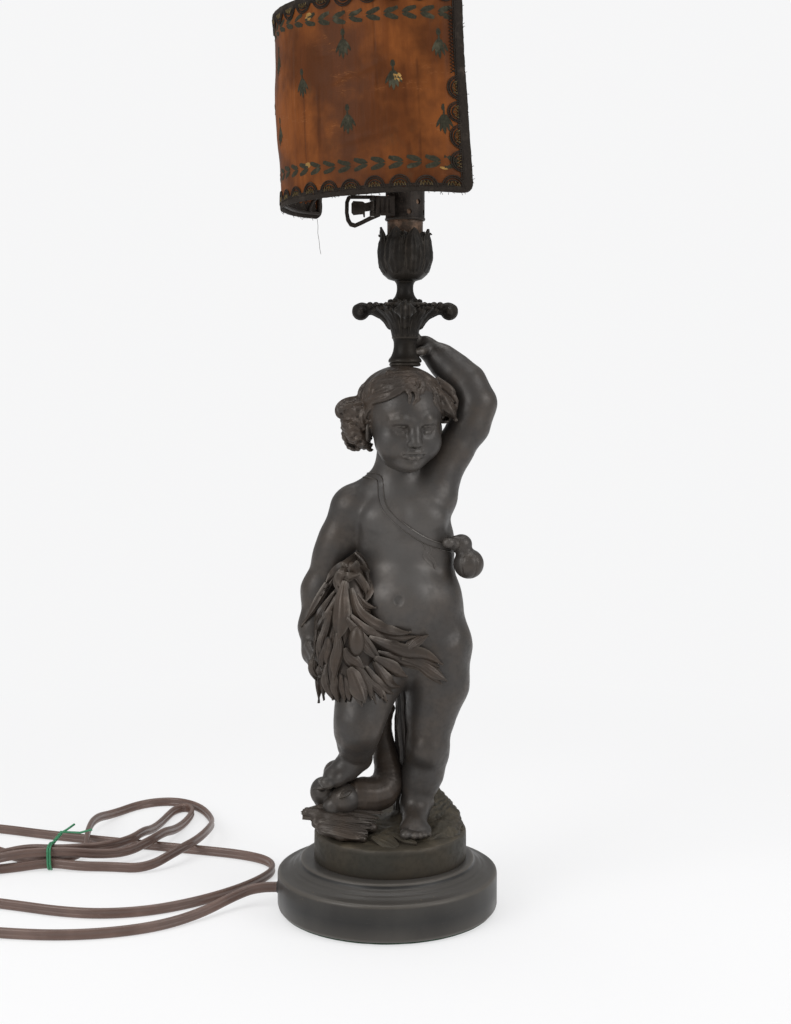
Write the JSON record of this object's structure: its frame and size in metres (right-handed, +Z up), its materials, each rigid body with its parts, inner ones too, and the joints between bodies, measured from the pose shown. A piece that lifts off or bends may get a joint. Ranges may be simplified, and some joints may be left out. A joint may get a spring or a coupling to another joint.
{
  "type": "figural table lamp",
  "caption": "Table lamp with a cast putto holding a sheaf of leaves, a leaf-cup candle column and a bent fabric half shade on a swivelling clamp.",
  "frame": {"origin": "centre of the felt's underside, on the table", "axes": "+Z up along the lamp, -Y towards the viewer of the picture, +X to the viewer's right"},
  "size_m": [0.4949, 0.3242, 0.6101],
  "materials": {
    "felt": "matt felt",
    "ebonised_wood": "ebonised, worn satin",
    "black_rubber": "matt",
    "steel": "dull",
    "patinated_spelter": "dark brown bronzed patina, satin",
    "tarnished_brass": "tarnished",
    "porcelain": "glazed",
    "bulb_glass": "clear",
    "blackened_steel": "blackened, worn",
    "shade_fabric": "glazed woven cloth, worn",
    "braid": "looped braid on ribbon",
    "brown_flex": "satin flexible cord",
    "green_tie": "satin covered wire"
  },
  "bodies": {
    "lamp": {"base_felt": "felt", "base_plinth": "ebonised_wood", "cord_bush": "black_rubber", "lamp_rod": "steel", "base_washer": "steel", "base_nut": "steel", "ground_casting": "patinated_spelter", "figure_torso": "patinated_spelter", "figure_head": "patinated_spelter", "figure_hair": "patinated_spelter", "standing_leg": "patinated_spelter", "bent_leg": "patinated_spelter", "lowered_arm": "patinated_spelter", "raised_arm": "patinated_spelter", "trunk_sleeve": "patinated_spelter", "horn_of_plenty": "patinated_spelter", "fruit_cluster": "patinated_spelter", "ground_sheaf": "patinated_spelter", "leaf_bundle": "patinated_spelter", "shoulder_strap": "patinated_spelter", "gourd_flask": "patinated_spelter", "column_stem": "patinated_spelter", "leaf_capital": "patinated_spelter", "column_neck": "patinated_spelter", "leaf_cup": "patinated_spelter", "holder_cap": "tarnished_brass", "holder_barrel": "tarnished_brass", "holder_insulator": "porcelain", "contact_spring_left": "steel", "contact_spring_right": "steel", "inner_flex": "brown_flex", "flex_lead": "brown_flex", "flex_hank": "brown_flex", "flex_tail": "brown_flex", "twist_tie": "green_tie", "plug_body": "black_rubber", "plug_blades": "tarnished_brass"},
    "bulb": {"bulb_cap": "tarnished_brass", "bulb_glass": "bulb_glass", "bulb_filament": "steel"},
    "left_contact": {"contact_left": "tarnished_brass"},
    "right_contact": {"contact_right": "tarnished_brass"},
    "shade": {"perforated_collar": "blackened_steel", "clip_pin": "blackened_steel", "clip_loop": "blackened_steel", "shade_cloth": "shade_fabric", "shade_binding": "braid", "shade_frame": "blackened_steel"},
    "lever": {"clip_lever": "blackened_steel"}
  },
  "joints": [
    {"name": "shade_swivel", "type": "hinge", "parent": "lamp", "child": "shade", "pos_m": [0.0123, 0.008, 0.49], "axis": [0, 0, 1], "continuous": true},
    {"name": "clip_lever_hinge", "type": "hinge", "parent": "shade", "child": "lever", "pos_m": [-0.0097, -0.0052, 0.483], "axis": [0, 0, 1], "range_deg": [0, 75]},
    {"name": "bulb_twist", "type": "hinge", "parent": "lamp", "child": "bulb", "pos_m": [0.0123, 0.008, 0.49], "axis": [0, 0, 1], "range_deg": [0, 18]},
    {"name": "left_contact_plunge", "type": "slide", "parent": "lamp", "child": "left_contact", "axis": [0, 0, 1], "range_m": [-0.0015, 0], "stiffness_N_per_m": 400, "springref_m": 0.002, "deforming": ["contact_spring_left"]},
    {"name": "right_contact_plunge", "type": "slide", "parent": "lamp", "child": "right_contact", "axis": [0, 0, 1], "range_m": [-0.0015, 0], "stiffness_N_per_m": 400, "springref_m": 0.002, "deforming": ["contact_spring_right"]}
  ]
}
